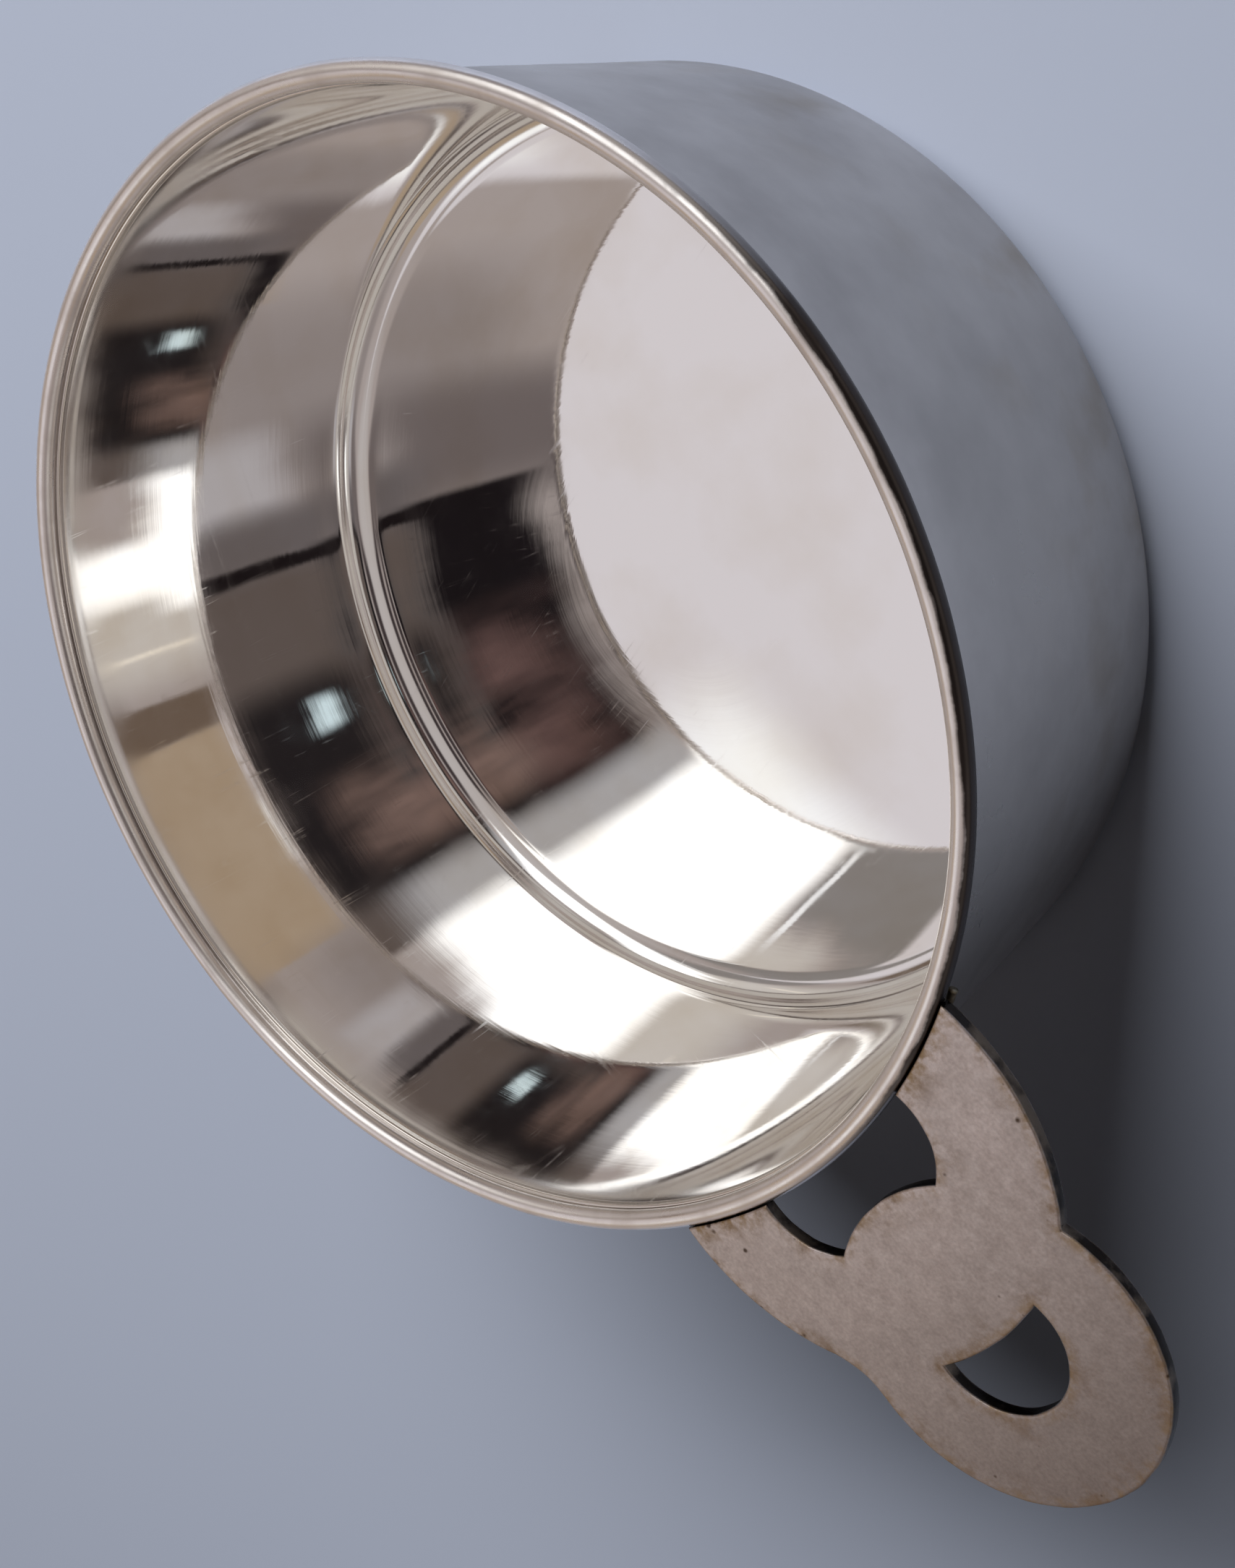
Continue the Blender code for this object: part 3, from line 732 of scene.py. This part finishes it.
def makeFloor(s):
    bm = bmesh.new()
    bmesh.ops.create_grid(bm, x_segments=1, y_segments=1, size=s["size"])
    bmesh.ops.translate(bm, verts=bm.verts, vec=(0, 0, table - s["drop"]))
    mesh = bpy.data.meshes.new("tableTop")
    bm.to_mesh(mesh)
    bm.free()
    material = bpy.data.materials.new("pale painted board")
    material.use_nodes = True
    shader = material.node_tree.nodes["Principled BSDF"]
    shader.inputs["Base Color"].default_value = linear(s["colour"])
    shader.inputs["Roughness"].default_value = s["roughness"]
    mesh.materials.append(material)
    floor = bpy.data.objects.new("tableTop", mesh)
    bpy.context.scene.collection.objects.link(floor)


makeFloor(floorSettings)

# A close view down into the bowl, with the camera turned on its side
cameraSettings = {
    "spot": (32.35 * mm, 122.76 * mm, 163.77 * mm),
    "aim": (0.82 * mm, 9.53 * mm, 42.0 * mm),
    "roll": 120.22,
    "focalPixels": 2758.6,
    "frameHeight": 2169,
    "sensor": 36.0,
    "mirrorBounces": 12,       # a ray runs many times round the wall under the lip
}


def makeCamera(s):
    data = bpy.data.cameras.new("photoCamera")
    data.sensor_fit = "VERTICAL"
    data.sensor_height = s["sensor"]
    data.lens = s["sensor"] * s["focalPixels"] / s["frameHeight"]
    data.clip_start = 5 * mm
    camera = bpy.data.objects.new("photoCamera", data)
    spot = Vector(s["spot"])
    look = (Vector(s["aim"]) - spot).to_track_quat("-Z", "Y").to_matrix().to_4x4()
    roll = Matrix.Rotation(math.radians(-s["roll"]), 4, "Z")
    camera.matrix_world = Matrix.Translation(spot) @ look @ roll
    bpy.context.scene.collection.objects.link(camera)
    bpy.context.scene.camera = camera
    bpy.context.scene.cycles.glossy_bounces = s["mirrorBounces"]


makeCamera(cameraSettings)

# The room round the bowl, in degrees: azimuth from the handle, zenith angle down from overhead
roomSettings = {
    "walls": "#a39996",
    "overhead": "#b3acaa",
    "low": "#6d6462",
    "bands": [("overhead", 30, 20), ("low", 58, 64)],      # zenith angles where each starts and is full
    "backdrop": "#b4bbca",     # what the camera sees past the floor
    "fill": 0.05,              # how much of the room's light falls on the floor
    "drift": 0.05,             # keeps straight edges from looking drawn
    "panels": [
        {"what": "pale ceiling", "azimuth": (215, 290), "zenith": (16, 48), "soft": (6, 8), "colour": "#d2cccf"},
        {"what": "pale low side", "azimuth": (170, 312), "zenith": (65, 96), "soft": (24, 6), "colour": "#a9a09d"},
        {"what": "bright low side", "azimuth": (-30, 136), "zenith": (60, 84), "soft": (20, 4), "colour": "#b8b2ad"},
        {"what": "tan wall", "azimuth": (222, 318), "zenith": (50, 64), "soft": (2, 3), "colour": "#a69480"},
        {"what": "door", "azimuth": (205, 222), "zenith": (50, 64), "soft": (2, 3), "colour": "#6a5b50"},
        {"what": "grey wall", "azimuth": (25, 118), "zenith": (47, 59), "soft": (3, 3), "colour": "#5c524e"},
        {"what": "dull wall", "azimuth": (322, 366), "zenith": (38, 56), "soft": (30, 10), "colour": "#8b8280"},
        {"what": "wall in shade", "azimuth": (-4, 22), "zenith": (30, 48), "soft": (22, 5), "colour": "#6a6160"},
        {"what": "pale wall end", "azimuth": (-6, 14), "zenith": (50, 58), "soft": (12, 4), "colour": "#aaa5a7"},
        {"what": "wall by the curtain", "azimuth": (13, 23), "zenith": (46, 57), "soft": (12, 4), "colour": "#635c5c"},
        {"what": "dark ceiling", "azimuth": (14, 106), "zenith": (18, 33), "soft": (14, 8), "colour": "#3a3233"},
        {"what": "dark curtain", "azimuth": (21.5, 110), "zenith": (38.5, 47.5), "soft": (2, 3), "colour": "#191517"},
        {"what": "curtain edge", "azimuth": (22.5, 26), "zenith": (46, 57), "soft": (1.5, 4), "colour": "#1a1516"},
        {"what": "brown chair", "azimuth": (58, 100), "zenith": (40, 47), "soft": (22, 5), "colour": "#634d4a",
         "broken": True},
        {"what": "dark shelf", "azimuth": (99, 114), "zenith": (46, 54), "soft": (9, 6), "colour": "#272325",
         "broken": True},
        {"what": "dark screen", "azimuth": (52, 104), "zenith": (48, 58), "soft": (12, 4), "colour": "#221e1f"},
        {"what": "chair back", "azimuth": (77, 98), "zenith": (46, 53), "soft": (10, 5), "colour": "#77625b",
         "broken": True},
        {"what": "small lamp", "azimuth": (57.5, 64.5), "zenith": (50.2, 52), "soft": (4, 1.4), "colour": "#d3e6ec"},
        {"what": "window side", "azimuth": (107, 124), "zenith": (36, 53), "soft": (10, 6), "colour": "#aaa8aa"},
        {"what": "bright wall", "azimuth": (160, 192), "zenith": (42, 64), "soft": (26, 4), "colour": "#c8c2bd"},
        {"what": "beam", "azimuth": (174, 217), "zenith": (31, 41), "soft": (4, 3), "colour": "#86817f"},
        {"what": "frame", "azimuth": (176, 177.6), "zenith": (33, 43), "soft": (1, 3), "colour": "#f4f4f6"},
        {"what": "door frame", "azimuth": (186, 187.4), "zenith": (50, 62), "soft": (1, 3), "colour": "#f0e8dc"},
        {"what": "glare", "azimuth": (258, 282), "zenith": (40, 49), "soft": (12, 5), "colour": "#ffffff"},
        {"what": "window", "azimuth": (119, 172), "zenith": (22, 53), "soft": (8, 4), "colour": "#ffffff",
         "strength": 1.4},
        {"what": "low window", "azimuth": (145, 164), "zenith": (48, 66), "soft": (10, 4), "colour": "#ffffff",
         "strength": 1.4},
    ],
}


def makeRoom(s):
    world = bpy.data.worlds.new("studioRoom")
    bpy.context.scene.world = world
    world.use_nodes = True
    tree = world.node_tree
    spot = addNode(tree, "TexCoord", {}, out="Generated")
    drift = addNode(tree, "TexNoise", {"Vector": spot, "Scale": 5, "Detail": 3}, out="Color")
    drift = addNode(tree, "VectorMath", {0: drift, 1: (0.5, 0.5, 0.5)}, operation="SUBTRACT")
    clutter = addNode(tree, "TexNoise", {"Vector": spot, "Scale": 6, "Detail": 4})
    clutter = addNode(tree, "MapRange", {"Value": clutter, "From Min": 0.36, "From Max": 0.66})
    spot = addNode(tree, "VectorMath", {0: drift, 1: (s["drift"],) * 3, 2: spot}, operation="MULTIPLY_ADD")
    spot = addNode(tree, "VectorMath", {0: spot}, operation="NORMALIZE")
    height = addNode(tree, "SeparateXYZ", {0: spot}, out="Z")
    level = addNode(tree, "VectorMath", {0: spot, 1: (1, 1, 0)}, operation="MULTIPLY")
    level = addNode(tree, "VectorMath", {0: level}, operation="NORMALIZE")

    def cosine(degrees):
        return math.cos(math.radians(degrees))

    colour = linear(s["walls"])
    for shade, start, end in s["bands"]:
        amount = addNode(tree, "MapRange", {"Value": height, "From Min": cosine(start), "From Max": cosine(end)},
                         interpolation_type="SMOOTHSTEP")
        colour = addNode(tree, "Mix", {"Factor": amount, "A": colour, "B": linear(s[shade])}, out=2,
                         data_type="RGBA")
    for panel in s["panels"]:
        middle = math.radians(sum(panel["azimuth"]) / 2)
        half = (panel["azimuth"][1] - panel["azimuth"][0]) / 2
        above, below = panel["zenith"]
        sideSoft, endSoft = (width / 2 for width in panel["soft"])
        turn = addNode(tree, "VectorMath", {0: level, 1: (math.cos(middle), math.sin(middle), 0)}, out="Value",
                       operation="DOT_PRODUCT")
        amount = 1.0
        for value, start, end in ((turn, half + sideSoft, half - sideSoft),
                                  (height, below + endSoft, below - endSoft),
                                  (height, above - endSoft, above + endSoft)):
            inside = addNode(tree, "MapRange", {"Value": value, "From Min": cosine(start), "From Max": cosine(end)},
                             interpolation_type="SMOOTHSTEP")
            amount = addNode(tree, "Math", {0: inside, 1: amount}, operation="MULTIPLY")
        if panel.get("broken"):
            amount = addNode(tree, "Math", {0: clutter, 1: amount}, operation="MULTIPLY")
        light = [part * panel.get("strength", 1) for part in linear(panel["colour"])]
        colour = addNode(tree, "Mix", {"Factor": amount, "A": colour, "B": light}, out=2, data_type="RGBA")

    # metal sees the whole room, the floor gets only part of its light, the camera sees a plain backdrop
    path = addNode(tree, "LightPath", {}).node
    seen = path.outputs["Is Camera Ray"]
    for ray in ("Is Glossy Ray", "Is Transmission Ray"):
        seen = addNode(tree, "Math", {0: seen, 1: path.outputs[ray]}, operation="MAXIMUM")
    strength = addNode(tree, "MapRange", {"Value": seen, "To Min": s["fill"]})
    colour = addNode(tree, "Mix", {"Factor": path.outputs["Is Camera Ray"], "A": colour,
                                   "B": linear(s["backdrop"])}, out=2, data_type="RGBA")
    background = tree.nodes["Background"]
    tree.links.new(colour, background.inputs["Color"])
    tree.links.new(strength, background.inputs["Strength"])


makeRoom(roomSettings)

# An upright window, near enough that its light falls off over the floor
windowSettings = {
    "azimuth": 157,
    "distance": 1.20,
    "width": 1.62,
    "height": (0.36, 1.08),
    "energy": 40.0,
    "colour": "#fbfbff",
}


def makeWindow(s):
    data = bpy.data.lights.new("studioWindow", "AREA")
    data.shape = "RECTANGLE"
    data.size, data.size_y = s["width"], s["height"][1] - s["height"][0]
    data.energy = s["energy"]
    data.color = linear(s["colour"])[:3]
    lamp = bpy.data.objects.new("studioWindow", data)
    lamp.visible_glossy = False    # the metal shows the room's window instead
    azimuth = math.radians(s["azimuth"])
    way = Vector((math.cos(azimuth), math.sin(azimuth), 0))
    lamp.location = Vector((axisX, 0, sum(s["height"]) / 2)) + way * s["distance"]
    lamp.rotation_euler = (-way).to_track_quat("-Z", "Y").to_euler()
    bpy.context.scene.collection.objects.link(lamp)


makeWindow(windowSettings)
bpy.context.scene.view_settings.view_transform = "Standard"
print("floor, camera and lights done")
